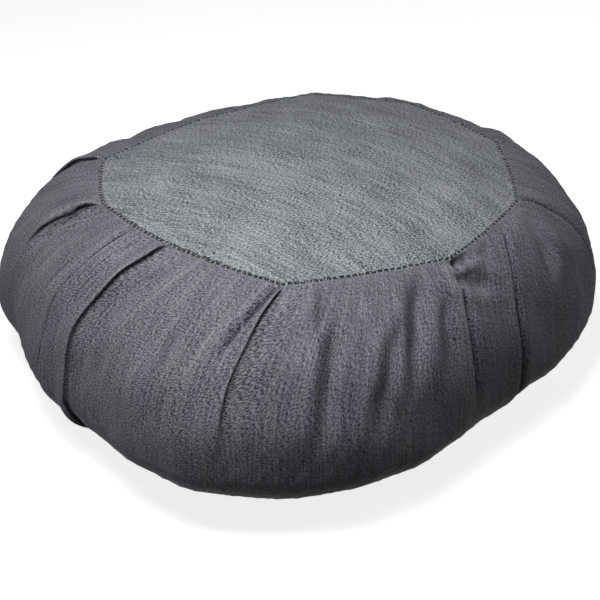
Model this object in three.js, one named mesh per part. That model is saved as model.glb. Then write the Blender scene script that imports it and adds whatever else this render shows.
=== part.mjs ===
// A zafu: a round meditation cushion of dark denim. A crowned top panel and a flat bottom panel are sewn to
// a bulging side band, which is gathered by knife pleats and closes with one end lapped over the other.
// Millimetres, +Z up. Angles are degrees, counter-clockwise from +X, and the front of the cushion faces -Y.
import * as THREE from 'three';
import { ParametricGeometry } from 'three/addons/geometries/ParametricGeometry.js';

const { clamp, degToRad, euclideanModulo, lerp, radToDeg, smoothstep } = THREE.MathUtils;

// Heights above the surface that the cushion rests on
const CROWN_HEIGHT = 139; // middle of the top panel
const SEAM_HEIGHT = 126; // top seam
const BELLY_HEIGHT = 46; // widest level of the band
const HEM_HEIGHT = 6; // bottom seam

// The two panels
const PANEL_THICKNESS = 2;
const CLEARANCE = 0.4; // between a panel and the band
const CROWN_POWER = 2.2; // how flat the middle of the top panel is
const FLOOR_SHARE = 0.8; // share of the bottom panel's radius that lies flat
const CROWN_RINGS = [0.3, 0.6, 0.85, 1]; // shares of the top panel's radius
const FLOOR_RINGS = [FLOOR_SHARE, 0.9, 1]; // shares of the bottom panel's radius

// The band. Its section is two arcs of ellipses that meet at the belly.
const BELLY_SHARE = 0.58; // share of the way down the band at which the belly lies
const SHOULDER_ANGLE = 14; // start of the upper arc, from upright
const TUCK_ANGLE = 66; // end of the lower arc, from level
const SEAM_BOW = 2; // how far the seam bows out between two pleats
const BAND_ROWS = 20;
const COLUMN_PITCH = 9; // between two columns of points, away from the folds

// Every crease swings round the cushion by its lean, from the seam to this share of the way down.
const SWING_END = 0.42;
const FOLD_ROOT = 0.1; // share of the band over which a fold opens below the seam
const FOLD_FADE = 0.22; // share of the band over which a fold flattens out
const FOOT_FADE = 0.24; // share of the band over which the folds at the bottom seam flatten out
const FOOT_STRENGTH = 0.6; // of the folds at the bottom seam

// The pleats, round the cushion: the radii of the top seam, the belly and the bottom seam there, and how far
// the belly bulges between this pleat and the next. Then the fold's lean in degrees, the height of its lip and
// the share of the way down at which it has flattened out. The pleat that never flattens is the lapped opening.
const PLEATS = [
  { angle: 20, seam: 128, belly: 184, foot: 120, puff: 4, lean: 3, lip: 3.5, fade: 0.5 },
  { angle: 56, seam: 128, belly: 182, foot: 122, puff: 4, lean: 3, lip: 3.5, fade: 0.46 },
  { angle: 88, seam: 126, belly: 174, foot: 122, puff: 2, lean: -3, lip: 3, fade: 0.5 },
  { angle: 129, seam: 111, belly: 178, foot: 124, puff: 6, lean: -5, lip: 2.5, fade: 0.44 },
  { angle: 167, seam: 130, belly: 197, foot: 128, puff: 4, lean: -9, lip: 5.5, fade: 0.42 },
  { angle: 194, seam: 125, belly: 183, foot: 126, puff: 2, lean: -8, lip: 5, fade: 0.38 },
  { angle: 226, seam: 114, belly: 182, foot: 128, puff: 8, lean: -7, lip: 3.5, fade: Infinity },
  { angle: 263, seam: 130, belly: 197, foot: 134, puff: 3, lean: -8, lip: 4, fade: 0.52 },
  { angle: 306, seam: 129, belly: 163, foot: 110, puff: -3, lean: 0, lip: 4, fade: 0.55 },
  { angle: 343, seam: 128, belly: 173, foot: 107, puff: 2, lean: 9, lip: 4.5, fade: 0.46 },
];

// A fold between two pleats, which reaches the seam without drawing it in
const TUCKS = [{ angle: 329, lean: -10, lip: 2.5, fade: 0.68 }];

// Section across a fold, at the belly. lay is the distance round the band with the cloth laid flat, fold is the
// same with the cloth folded, negative before the crease, and rise is a share of the lip's height. The section
// narrows towards both seams, where the cloth is drawn in.
const FOLD_SECTION = [
  { lay: -12, fold: -12, rise: 0.3 },
  { lay: -5, fold: -4, rise: 0.85 },
  { lay: -1.5, fold: 0, rise: 1 },
  { lay: 0, fold: 0.6, rise: 0.7 },
  { lay: 1.5, fold: -2.2, rise: 0.2 },
  { lay: 3, fold: -2.6, rise: -0.5 },
  { lay: 5.5, fold: 1.5, rise: -0.7 },
  { lay: 10, fold: 8.5, rise: -0.45 },
  { lay: 18, fold: 18, rise: -0.1 },
];

// Soft troughs in the band: where each starts and ends, as an angle and a share of the way down, then its half
// width and depth in millimetres
const TROUGHS = [
  { angle: 272, from: 0.02, toAngle: 270, to: 0.22, width: 9, depth: 1.8 },
  { angle: 274, from: 0.14, toAngle: 272, to: 0.36, width: 9, depth: 2 },
  { angle: 294, from: 0.06, toAngle: 293, to: 0.26, width: 10, depth: 2 },
  { angle: 309, from: 0.02, toAngle: 310, to: 0.2, width: 8, depth: 3 },
  { angle: 244, from: 0.3, toAngle: 243, to: 0.8, width: 16, depth: 1.5 },
];

const DENIM_TOP = new THREE.MeshStandardMaterial({ color: 0x7f858a, roughness: 0.95, metalness: 0 });
const DENIM_BAND = new THREE.MeshStandardMaterial({ color: 0x73737c, roughness: 0.95, metalness: 0 });

/** The pleats on either side of an angle, and the share of the way from the first to the second. */
function pleatSpan(angle) {
  const turned = euclideanModulo(angle - PLEATS[0].angle, 360) + PLEATS[0].angle;
  const index = PLEATS.findLastIndex((pleat) => pleat.angle <= turned);
  const next = (index + 1) % PLEATS.length;
  const gap = euclideanModulo(PLEATS[next].angle - PLEATS[index].angle, 360);
  return { index, next, share: (turned - PLEATS[index].angle) / gap };
}

/** A radius of the pleats, run smoothly through the rows of the table. */
function smoothRadius(column, angle) {
  const { index, share } = pleatSpan(angle);
  const around = [-1, 0, 1, 2].map((step) => PLEATS[euclideanModulo(index + step, PLEATS.length)][column]);
  const knots = around.map((radius, at) => new THREE.Vector2(at, radius));
  return new THREE.SplineCurve(knots).getPoint((1 + share) / 3).y;
}

/** Radius of the top seam: straight from pleat to pleat, but for a small bow. */
function seamRadius(angle) {
  const { index, next, share } = pleatSpan(angle);
  const start = polar(PLEATS[index].angle, PLEATS[index].seam, 0);
  const side = polar(PLEATS[next].angle, PLEATS[next].seam, 0).sub(start);
  const outward = polar(angle, 1, 0);
  return start.cross(side).z / outward.cross(side).z + SEAM_BOW * 4 * share * (1 - share);
}

/** Radius of the band at its widest level. */
function bellyRadius(angle) {
  const { index, share } = pleatSpan(angle);
  return smoothRadius('belly', angle) + PLEATS[index].puff * Math.sin(Math.PI * share) ** 2;
}

/** A point at an angle, a radius and a height. */
function polar(angle, radius, height) {
  return new THREE.Vector3(radius * Math.cos(degToRad(angle)), radius * Math.sin(degToRad(angle)), height);
}

/** The band's section at an angle and a share of the way down: radius, height and outward direction. */
function bandSection(angle, down) {
  const belly = bellyRadius(angle);
  const upper = down < BELLY_SHARE;
  const edge = upper ? seamRadius(angle) : smoothRadius('foot', angle);
  const limit = upper ? degToRad(90 - SHOULDER_ANGLE) : degToRad(TUCK_ANGLE);
  const rise = (upper ? SEAM_HEIGHT : HEM_HEIGHT) - BELLY_HEIGHT;
  const turn = limit * (upper ? 1 - down / BELLY_SHARE : (down - BELLY_SHARE) / (1 - BELLY_SHARE));
  const depth = (belly - edge) / (1 - Math.cos(limit));
  const height = rise / Math.sin(limit);
  const outward = new THREE.Vector2(height * Math.cos(turn), depth * Math.sin(turn));
  return {
    radius: belly - depth * (1 - Math.cos(turn)),
    height: BELLY_HEIGHT + height * Math.sin(turn),
    outward: outward.normalize().multiplyScalar(Math.sign(rise)),
  };
}

/** Sum of the soft troughs at a place on the band, as a height. */
function troughHeight(angle, down, radius) {
  let height = 0;
  for (const trough of TROUGHS) {
    const along = (down - trough.from) / (trough.to - trough.from);
    const middle = lerp(trough.angle, trough.toAngle, clamp(along, 0, 1));
    const across = (degToRad(angle - middle) * radius) / trough.width;
    const fullness = along > 0 && along < 1 ? Math.sin(Math.PI * along) : 0;
    height -= trough.depth * fullness * Math.exp(-across * across);
  }
  return height;
}

/** A point on the outside of the band, lifted off its section by a height. */
function bandPoint(angle, down, lift) {
  const { radius, height, outward } = bandSection(angle, down);
  const raised = lift + troughHeight(angle, down, radius);
  return polar(angle, radius + raised * outward.x, height + raised * outward.y);
}

/** Angle of a fold's crease at a share of the way down the band. */
function creaseAngle(fold, down) {
  return fold.angle + fold.lean * Math.sin((Math.PI / 2) * Math.min(down / SWING_END, 1));
}

/** How far a fold is folded, from 0 where its cloth lies flat to 1. Both seams hold it flat. */
function foldStrength(fold, down) {
  const fromTop = smoothstep(down, 0, FOLD_ROOT) * (1 - smoothstep(down, fold.fade - FOLD_FADE, fold.fade));
  const fromFoot = FOOT_STRENGTH * smoothstep(down, 1 - FOOT_FADE, 1);
  return Math.max(fromTop, fromFoot) * smoothstep(1 - down, 0, FOLD_ROOT);
}

/** A point of a fold's section, as an angle and a height, at a share of the way down the band. */
function foldPlace(fold, row, down) {
  const strength = foldStrength(fold, down);
  const crease = creaseAngle(fold, down);
  const across = lerp(row.lay, row.fold, strength);
  return {
    angle: crease + radToDeg(across / bellyRadius(crease)),
    lift: fold.lip * row.rise * strength,
  };
}

/** A point between two neighbouring folds, as an angle and a height. */
function panelPlace(fold, next, share, down) {
  const start = foldPlace(fold, FOLD_SECTION.at(-1), down);
  const end = foldPlace(next, FOLD_SECTION[0], down);
  const width = euclideanModulo(end.angle - start.angle, 360);
  const edge = share < 0.5 ? start.lift : end.lift;
  return { angle: start.angle + width * share, lift: edge * Math.cos(Math.PI * share) ** 2 };
}

/** The columns of points round the band: each gives an angle and a height for a share of the way down. */
function bandColumns() {
  const folds = [...PLEATS, ...TUCKS].sort((a, b) => a.angle - b.angle);
  return folds.flatMap((fold, index) => {
    const next = folds[(index + 1) % folds.length];
    const acrossFold = FOLD_SECTION.map((row) => (down) => foldPlace(fold, row, down));
    const free = panelPlace(fold, next, 1, 0).angle - panelPlace(fold, next, 0, 0).angle;
    const steps = Math.max(2, Math.round((degToRad(free) * seamRadius(fold.angle)) / COLUMN_PITCH));
    const shares = Array.from({ length: steps - 1 }, (_, step) => (step + 1) / steps);
    return [...acrossFold, ...shares.map((share) => (down) => panelPlace(fold, next, share, down))];
  });
}

/** Height of the top panel's outer face at a share of its radius. */
function crownHeight(share) {
  return lerp(CROWN_HEIGHT, SEAM_HEIGHT, share ** CROWN_POWER);
}

/** Height of the bottom panel's outer face at a share of its radius. */
function floorHeight(share) {
  return HEM_HEIGHT * Math.max(0, (share - FLOOR_SHARE) / (1 - FLOOR_SHARE)) ** 2;
}

/** A closed body from its rows of points, listed upwards. The first and last rows are one point each. */
function closedBody(rows) {
  const columns = rows[1].length;
  const place = (u, v, target) => {
    const row = rows[Math.round(v * (rows.length - 1))];
    target.copy(row[Math.round(u * columns) % row.length]);
  };
  const geometry = new ParametricGeometry(place, columns, rows.length - 1);
  geometry.computeVertexNormals();
  return geometry;
}

const columns = bandColumns();
const topAngles = columns.map((column) => column(0).angle);
const footAngles = columns.map((column) => column(1).angle);

/** Rings of the top panel's shape, from its middle outwards, drawn in by a margin and lowered by a drop. */
function crownRings(margin, drop) {
  const place = (angle, share) => polar(angle, share * (seamRadius(angle) - margin), crownHeight(share) - drop);
  return CROWN_RINGS.map((share) => topAngles.map((angle) => place(angle, share)));
}

/** Rings of the bottom panel's shape, from its middle outwards, drawn in by a margin and raised by a lift. */
function floorRings(margin, lift) {
  const radius = (angle) => smoothRadius('foot', angle) - margin;
  const place = (angle, share) => polar(angle, share * radius(angle), floorHeight(share) + lift);
  return FLOOR_RINGS.map((share) => footAngles.map((angle) => place(angle, share)));
}

/** The band with its filling: the pleated outside, and a shallow seat for each panel. */
function sideBand() {
  const seat = PANEL_THICKNESS + CLEARANCE;
  const upwards = Array.from({ length: BAND_ROWS + 1 }, (_, row) => row / BAND_ROWS);
  const outside = upwards.map((up) => {
    const down = (1 + Math.cos(Math.PI * up)) / 2; // the rows are closest at the two seams
    const places = columns.map((column) => column(down));
    return places.map(({ angle, lift }) => bandPoint(angle, down, lift));
  });
  return closedBody([
    [new THREE.Vector3(0, 0, seat)],
    ...floorRings(0, seat),
    ...outside,
    ...crownRings(0, seat).reverse(),
    [new THREE.Vector3(0, 0, CROWN_HEIGHT - seat)],
  ]);
}

/** The top panel: a crowned sheet that fills its seat. */
function topPanel() {
  return closedBody([
    [new THREE.Vector3(0, 0, CROWN_HEIGHT - PANEL_THICKNESS)],
    ...crownRings(CLEARANCE, PANEL_THICKNESS),
    ...crownRings(CLEARANCE, 0).reverse(),
    [new THREE.Vector3(0, 0, CROWN_HEIGHT)],
  ]);
}

/** The bottom panel: a sheet that lies flat but for its rim, which rises to the bottom seam. */
function bottomPanel() {
  return closedBody([
    [new THREE.Vector3(0, 0, 0)],
    ...floorRings(CLEARANCE, 0),
    ...floorRings(CLEARANCE, PANEL_THICKNESS).reverse(),
    [new THREE.Vector3(0, 0, PANEL_THICKNESS)],
  ]);
}

/** A named mesh. */
function piece(name, geometry, material) {
  const mesh = new THREE.Mesh(geometry, material);
  mesh.name = name;
  return mesh;
}

const cushion = new THREE.Group();
cushion.add(
  piece('side_band', sideBand(), DENIM_BAND),
  piece('top_panel', topPanel(), DENIM_TOP),
  piece('bottom_panel', bottomPanel(), DENIM_BAND),
);

// The origin is under the middle of the cushion's bounding box.
const middle = new THREE.Box3().setFromObject(cushion).getCenter(new THREE.Vector3());
cushion.position.set(-middle.x, -middle.y, 0);

export default cushion;
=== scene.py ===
"""Dressed model of a zafu, a round meditation cushion of dark denim.

A crowned top panel and a flat bottom panel are sewn to a bulging side band. The band is gathered by knife
pleats and closes with one hemmed end lapped over the other. Shapes are worked out in millimetres, with angles
in degrees, counter-clockwise from +X, and the front facing -Y; meshes are in metres, in the solids' frame.
"""

import logging
import math
from collections.abc import Sequence
from dataclasses import dataclass, field
from enum import Enum

import bpy
import numpy as np
from mathutils import Matrix, Vector


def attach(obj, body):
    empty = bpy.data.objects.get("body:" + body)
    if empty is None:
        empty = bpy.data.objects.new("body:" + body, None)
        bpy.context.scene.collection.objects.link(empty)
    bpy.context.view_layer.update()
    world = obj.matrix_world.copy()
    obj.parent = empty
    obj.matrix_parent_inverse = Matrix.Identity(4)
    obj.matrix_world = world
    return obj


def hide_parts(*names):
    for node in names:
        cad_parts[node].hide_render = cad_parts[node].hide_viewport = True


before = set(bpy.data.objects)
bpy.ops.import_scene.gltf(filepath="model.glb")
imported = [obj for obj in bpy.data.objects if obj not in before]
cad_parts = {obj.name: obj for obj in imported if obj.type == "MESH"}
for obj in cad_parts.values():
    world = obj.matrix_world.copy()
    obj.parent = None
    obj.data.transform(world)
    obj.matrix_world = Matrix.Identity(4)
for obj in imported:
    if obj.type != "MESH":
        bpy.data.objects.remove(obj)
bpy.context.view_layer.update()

LOG = logging.getLogger("zafu")
MM = 0.001
FRAME_SHIFT = (7.535, 10.517, 0.0)  # from the form's own centre to the solids' frame, mm
UV_NAME = "cloth"
# Mesh attribute of rubbed wear with painted shading: painted shade in seams, crease lines and the hem's
# groove, and paler edges that are partly painted highlight
SHADING_AND_WEAR_NAME = "wear_and_painted_shading"
NORMAL_NAME = "cloth_normal"


def linear(colour: str) -> tuple[float, float, float, float]:
    """Turns an sRGB hex colour into linear RGBA.

    Args:
        colour: Six hex digits after a hash sign.

    Returns:
        Red, green and blue in linear light, and an alpha of 1.
    """
    parts = [int(colour[at:at + 2], 16) / 255 for at in (1, 3, 5)]
    red, green, blue = (p / 12.92 if p <= 0.04045 else ((p + 0.055) / 1.055) ** 2.4 for p in parts)
    return red, green, blue, 1.0


def smoothstep(low: float, high: float, value: np.ndarray) -> np.ndarray:
    """Smooth ramp from 0 at low to 1 at high."""
    ramp = np.clip((value - low) / (high - low), 0.0, 1.0)
    return ramp * ramp * (3 - 2 * ramp)


def spline(knots: np.ndarray, place: np.ndarray) -> np.ndarray:
    """Runs a Catmull-Rom curve through knots.

    Args:
        knots: Values at the whole numbers from 0, one row each.
        place: Where to read the curve.

    Returns:
        The curve's values, one for each place.
    """
    last = len(knots) - 1
    at = np.clip(np.floor(place).astype(int), 0, last - 1)
    f = (place - at).reshape(place.shape + (1,) * (knots.ndim - 1))
    before, start, end, after = (knots[np.clip(at + step, 0, last)] for step in (-1, 0, 1, 2))
    return 0.5 * (2 * start + (end - before) * f + (2 * before - 5 * start + 4 * end - after) * f ** 2
                  + (3 * start - before - 3 * end + after) * f ** 3)


def add_node(tree: bpy.types.NodeTree, kind: str, inputs: dict | None = None,
             **settings: object) -> bpy.types.Node:
    """Adds a node with its settings and links.

    Args:
        tree: Tree that gets the node.
        kind: Blender's name for the node's kind.
        inputs: Values or output sockets for the node's inputs, by name or number.
        settings: Attributes of the node.

    Returns:
        The new node.
    """
    node = tree.nodes.new(kind)
    for name, value in settings.items():
        setattr(node, name, value)
    for name, value in (inputs or {}).items():
        if isinstance(value, bpy.types.NodeSocket):
            tree.links.new(value, node.inputs[name])
        else:
            node.inputs[name].default_value = value
    return node


class Grain(Enum):
    """How the cloth of a piece was cut: the bow of its warp threads, per millimetre."""

    STRAIGHT = 0.0
    BOWED = 0.0012


@dataclass(frozen=True)
class Denim:
    """Woven denim: dark indigo-grey warp over a paler weft.

    The eye gets a dry, matt twill: pale ticks of weft across the warp, salt-and-pepper flecks, thick and thin
    warp threads that run on as long faint streaks, and paler edges where the folded cloth has rubbed, partly
    a painted highlight. It also carries painted shade: dark in the seams, along crease lines and in the hem's
    groove.
    """

    name: str
    warp: str
    weft: str
    faded: str  # the weft along faded streaks
    seed: float
    tick_mm: tuple[float, float] = (1.7, 0.6)  # real floats are 1.2 by 0.4 mm; drawn coarser to show
    twill: float = 35.0  # degrees by which the floats climb across the cloth
    fleck_mm: float = 0.62  # drawn coarser, likewise
    slub_mm: tuple[float, float] = (1.2, 30.0)  # width and length of a thick or thin thread
    streak_mm: tuple[float, float] = (7.0, 110.0)  # the same for a group of threads
    mottle_mm: tuple[float, float] = (22.0, 30.0)
    weft_share: float = 0.42  # how much of the face is weft
    shading_and_wear_share: float = 0.3
    hue_share: float = 1.6  # how far the streaks change the weft

    def material(self) -> bpy.types.Material:
        """Builds the material on the piece's own cloth coordinates, which are in metres, warp along V.

        Returns:
            The new material.
        """
        made = bpy.data.materials.new(self.name)
        made.use_nodes = True
        tree = made.node_tree
        shader = tree.nodes["Principled BSDF"]
        cloth = add_node(tree, "ShaderNodeUVMap", uv_map=UV_NAME).outputs[0]
        total: bpy.types.NodeSocket | float = self.weft_share
        layers = (
            (self.tick_mm, self.twill, 1.0, 2.1), ((self.fleck_mm, self.fleck_mm), 0.0, 1.0, 1.4),
            (self.slub_mm, 0.0, 1.0, 0.6), (self.mottle_mm, 0.0, 2.0, 0.3), (self.streak_mm, 0.0, 1.0, 0.25),
        )
        for number, ((width, length), turn, detail, share) in enumerate(layers):
            place = add_node(tree, "ShaderNodeMapping", {
                "Vector": cloth, "Location": (self.seed + 7 * number, self.seed + 3 * number, 0),
                "Rotation": (0, 0, math.radians(turn)), "Scale": (width * MM, length * MM, 1),
            }, vector_type="TEXTURE")
            noise = add_node(tree, "ShaderNodeTexNoise", {
                "Vector": place.outputs[0], "Scale": 1.0, "Detail": detail}, noise_dimensions="2D")
            centred = add_node(tree, "ShaderNodeMath", {0: noise.outputs[0], 1: 0.5}, operation="SUBTRACT")
            total = add_node(tree, "ShaderNodeMath", {0: centred.outputs[0], 1: share, 2: total},
                             operation="MULTIPLY_ADD").outputs[0]
        # Rubbed wear and painted shading from the mesh: painted shade darkens seams, crease lines and the
        # hem's groove towards the warp; paler edges are partly painted highlight
        wear_and_painted_shading = add_node(tree, "ShaderNodeAttribute", attribute_name=SHADING_AND_WEAR_NAME).outputs["Fac"]
        worn_and_shaded = add_node(tree, "ShaderNodeMath", {0: wear_and_painted_shading, 1: self.shading_and_wear_share, 2: total},
                        operation="MULTIPLY_ADD", use_clamp=True)
        hue = add_node(tree, "ShaderNodeMath", {0: centred.outputs[0], 1: self.hue_share, 2: 0.5},
                       operation="MULTIPLY_ADD", use_clamp=True)
        weft = add_node(tree, "ShaderNodeMix", {
            "Factor": hue.outputs[0], 6: linear(self.weft), 7: linear(self.faded)}, data_type="RGBA")
        colour = add_node(tree, "ShaderNodeMix", {
            "Factor": worn_and_shaded.outputs[0], 6: linear(self.warp), 7: weft.outputs[2]}, data_type="RGBA")
        relief = add_node(tree, "ShaderNodeBump", {"Height": total, "Strength": 0.12, "Distance": 0.0003})
        tree.links.new(colour.outputs[2], shader.inputs["Base Color"])
        tree.links.new(relief.outputs[0], shader.inputs["Normal"])
        shader.inputs["Roughness"].default_value = 0.92
        shader.inputs["IOR"].default_value = 1.47
        shader.inputs["Specular IOR Level"].default_value = 0.2
        shader.inputs["Sheen Weight"].default_value = 0.05
        shader.inputs["Sheen Roughness"].default_value = 0.6
        return made


@dataclass(frozen=True)
class CottonThread:
    """Spun cotton sewing thread: a soft twisted strand, paler than the denim where it stands in the light."""

    name: str = "cotton_thread"
    strand: str = "#a4a7ac"
    # painted shade in the twist's hollows, where the bump sinks
    hollow: str = "#4a4c52"
    twist_mm: float = 0.7  # a real strand twists every 0.4 mm; drawn coarser so that it shows

    def material(self) -> bpy.types.Material:
        """Builds the material on Object coordinates.

        Returns:
            The new material.
        """
        made = bpy.data.materials.new(self.name)
        made.use_nodes = True
        tree = made.node_tree
        shader = tree.nodes["Principled BSDF"]
        place = add_node(tree, "ShaderNodeTexCoord").outputs["Object"]
        noise = add_node(tree, "ShaderNodeTexNoise", {
            "Vector": place, "Scale": 1 / (self.twist_mm * MM), "Detail": 1.0}).outputs[0]
        # Painted shade: the low places of the twist are painted in the hollow colour
        colour = add_node(tree, "ShaderNodeMix", {
            "Factor": noise, 6: linear(self.hollow), 7: linear(self.strand)}, data_type="RGBA")
        relief = add_node(tree, "ShaderNodeBump", {"Height": noise, "Strength": 0.3, "Distance": 0.0002})
        tree.links.new(colour.outputs[2], shader.inputs["Base Color"])
        tree.links.new(relief.outputs[0], shader.inputs["Normal"])
        shader.inputs["Roughness"].default_value = 0.8
        shader.inputs["Specular IOR Level"].default_value = 0.3
        return made


@dataclass(frozen=True)
class LitAcrylic:
    """Opal acrylic sheet lit from beneath, as on a product table.

    The eye gets an even, pale floor with hardly any shadow.
    """

    name: str = "lit_opal_acrylic"
    pale: str = "#e6e6e6"
    dim: str = "#dedede"
    glow: float = 0.8

    def material(self) -> bpy.types.Material:
        """Builds the material on Object coordinates.

        Returns:
            The new material.
        """
        made = bpy.data.materials.new(self.name)
        made.use_nodes = True
        tree = made.node_tree
        shader = tree.nodes["Principled BSDF"]
        place = add_node(tree, "ShaderNodeTexCoord").outputs["Object"]
        noise = add_node(tree, "ShaderNodeTexNoise", {
            "Vector": place, "Scale": 6.0, "Detail": 2.0}).outputs[0]
        colour = add_node(tree, "ShaderNodeMix", {
            "Factor": noise, 6: linear(self.dim), 7: linear(self.pale)}, data_type="RGBA")
        tree.links.new(colour.outputs[2], shader.inputs["Base Color"])
        shader.inputs["Roughness"].default_value = 0.95
        shader.inputs["Specular IOR Level"].default_value = 0.1
        shader.inputs["Emission Color"].default_value = linear("#ffffff")
        shader.inputs["Emission Strength"].default_value = self.glow
        return made


class FoldKind(Enum):
    """How the cloth lies at a fold."""

    KNIFE = "knife"  # the edge lies over the next panel
    GROOVE = "groove"  # the edge stands over an open crease
    HEMMED = "hemmed"  # the edge is turned under and sewn


@dataclass(frozen=True)
class Fold:
    """A fold of the side band, which runs down from the top seam."""

    angle: float  # where it leaves the seam
    lean: float  # how far it swings round the cushion
    lip: float  # height of its edge, mm
    fade: float  # share of the way down at which it has flattened out
    root: float = 0.05  # share of the band over which it opens below the seam
    kind: FoldKind = FoldKind.KNIFE


@dataclass(frozen=True)
class Pleat(Fold):
    """A fold that draws the seam in, with the cushion's radii there and the bulge before the next pleat."""

    seam: float = 0.0
    belly: float = 0.0
    foot: float = 0.0
    puff: float = 0.0


PLEATS = (
    Pleat(20, 3, 3.0, 0.5, 0.12, FoldKind.GROOVE, seam=128, belly=184, foot=120, puff=4),
    Pleat(56, 3, 2.4, 0.46, 0.2, FoldKind.GROOVE, seam=128, belly=182, foot=122, puff=4),
    Pleat(88, -3, 2.4, 0.5, 0.2, seam=126, belly=174, foot=122, puff=2),
    Pleat(129, -5, 1.4, 0.44, 0.3, seam=111, belly=178, foot=124, puff=6),
    Pleat(167, -9, 2.6, 0.42, seam=130, belly=197, foot=128, puff=4),
    Pleat(194, -8, 3.8, 0.38, seam=125, belly=183, foot=126, puff=2),
    Pleat(226, -7, 3.2, math.inf, 0.045, FoldKind.HEMMED, seam=114, belly=182, foot=128, puff=8),
    Pleat(263, -8, 2.6, 0.56, 0.045, seam=130, belly=197, foot=134, puff=3),
    Pleat(306, -3.5, 3.4, 0.6, 0.03, FoldKind.GROOVE, seam=129, belly=163, foot=110, puff=-3),
    Pleat(343, 9, 3.4, 0.5, 0.06, FoldKind.GROOVE, seam=128, belly=173, foot=107, puff=2),
)
TUCKS = (Fold(329, -12, 4.0, 0.76, 0.16, FoldKind.GROOVE),)

# Section across a fold, mm: the distance round the band with the cloth laid flat, the same with the cloth
# folded, negative before the crease, and the height as a share of the lip's.
FOLD_SECTION = np.array([
    (-12, -12, 0.22), (-7, -6.5, 0.58), (-3.5, -2.4, 0.92), (-1.4, -0.2, 1.0), (-0.2, 0.55, 0.8),
    (0.7, 0.35, 0.5), (1.6, -1.2, 0.28), (2.6, -2.8, 0.05), (3.6, -2.6, -0.2), (4.8, -0.6, -0.33),
    (6.5, 2.6, -0.4), (10, 8, -0.3), (18, 18, -0.06),
], dtype=float)

# The same where the edge stands over an open crease
GROOVE_SECTION = np.array([
    (-12, -12, 0.0), (-7, -6.7, 0.1), (-3.5, -3.2, 0.28), (-1.5, -1.1, 0.35), (-0.3, 0.1, 0.15),
    (0.6, 0.5, -0.3), (1.5, 0.9, -0.85), (2.4, 1.4, -1.15), (3.4, 2.2, -1.0), (4.6, 3.4, -0.45),
    (6.2, 5.0, 0.1), (9.5, 8.8, 0.35), (18, 18, 0.1),
], dtype=float)

# The same further back from the lapped edge, where its hem is turned under and sewn down
HEM_SECTION = np.array([
    (-34, -34, 0.0), (-31.5, -31.5, 0.0), (-30, -30, 0.0), (-29.3, -29.3, -0.06), (-28.8, -28.8, -0.22),
    (-28.4, -28.4, -0.32), (-28, -28, -0.2), (-27.5, -27.5, 0.08), (-26.8, -26.8, 0.26), (-25.5, -25.5, 0.33),
    (-23, -23, 0.34), (-19.5, -19.5, 0.32), (-15.5, -15.5, 0.32),
], dtype=float)


@dataclass(frozen=True)
class Crease:
    """A soft crease: a trough with a low ridge on the side of the smaller angles."""

    path: tuple[tuple[float, float], ...]  # angles, and shares of the way down
    width: float  # half width of the trough, mm
    depth: float  # mm, negative for a ridge
    ridge: float = 0.35  # height of the ridge as a share of the depth
    sharp: float = 0.0  # how dark the painted shade along its line is, with a paler painted highlight on its ridge side


CREASES = (
    Crease(((273, 0.0), (272.5, 0.05), (271.5, 0.12), (270.5, 0.22)), 3.2, 3.6, 0.4),
    Crease(((275, 0.1), (273.5, 0.2), (272, 0.33), (271, 0.52)), 4.6, 6.2, 0.5),
    Crease(((289, 0.14), (285.5, 0.25), (282, 0.38), (280, 0.54)), 6.0, 4.4, 0.5),
    Crease(((295, 0.04), (292, 0.18), (289.5, 0.28), (286.5, 0.46)), 6.0, 6.2, 0.5),
    Crease(((300, 0.14), (298, 0.26), (296, 0.46)), 5.0, 3.4, 0.5),
    Crease(((306.5, 0.0), (308.5, 0.04), (311, 0.1)), 8.0, 4.8, 0.0),
    Crease(((305.5, 0.07), (309, 0.15), (313.5, 0.25)), 8.0, 5.4, 0.3),
    Crease(((244, 0.3), (243.5, 0.55), (243, 0.8)), 16.0, 1.8),
    Crease(((262, 0.0), (258.5, 0.09), (255, 0.17), (251, 0.3)), 2.8, 4.0, 0.9, 1.2),
    Crease(((191.5, 0.08), (190, 0.2), (190, 0.34)), 3.0, 2.6, 0.35, 0.6),
    Crease(((344, 0.06), (339, 0.22), (332, 0.4)), 8.0, -2.2, 0.0),
    Crease(((338, 0.04), (336, 0.16), (332, 0.34)), 6.0, 1.6, 0.4),
    Crease(((318, 0.02), (316.5, 0.1), (315, 0.2)), 6.0, 1.8, 0.4),
    Crease(((200, 0.05), (199, 0.2), (197, 0.42)), 8.0, 1.4),
    Crease(((176, 0.06), (173, 0.18), (170, 0.34)), 7.0, 1.6),
    Crease(((36, 0.03), (37, 0.15), (38, 0.3)), 7.0, 1.8),
    Crease(((70, 0.02), (69, 0.12), (68, 0.26)), 6.0, 1.8),
    Crease(((108, 0.03), (105, 0.15), (103, 0.32)), 8.0, 1.8),
    Crease(((146, 0.03), (143, 0.14), (140, 0.28)), 7.0, 1.6),
    Crease(((5, 0.05), (7, 0.18), (8, 0.36)), 8.0, 2.0),
)


@dataclass
class Skin:
    """A surface as rows of points round the cushion, mm, with the same number of points in every row."""

    points: np.ndarray
    cloth: np.ndarray  # cloth coordinates of the points, metres
    # rubbed wear with painted shading: below 0 painted shade, above 0 paler rubbed edges, partly painted
    # highlight
    wear_and_painted_shading: np.ndarray


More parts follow.
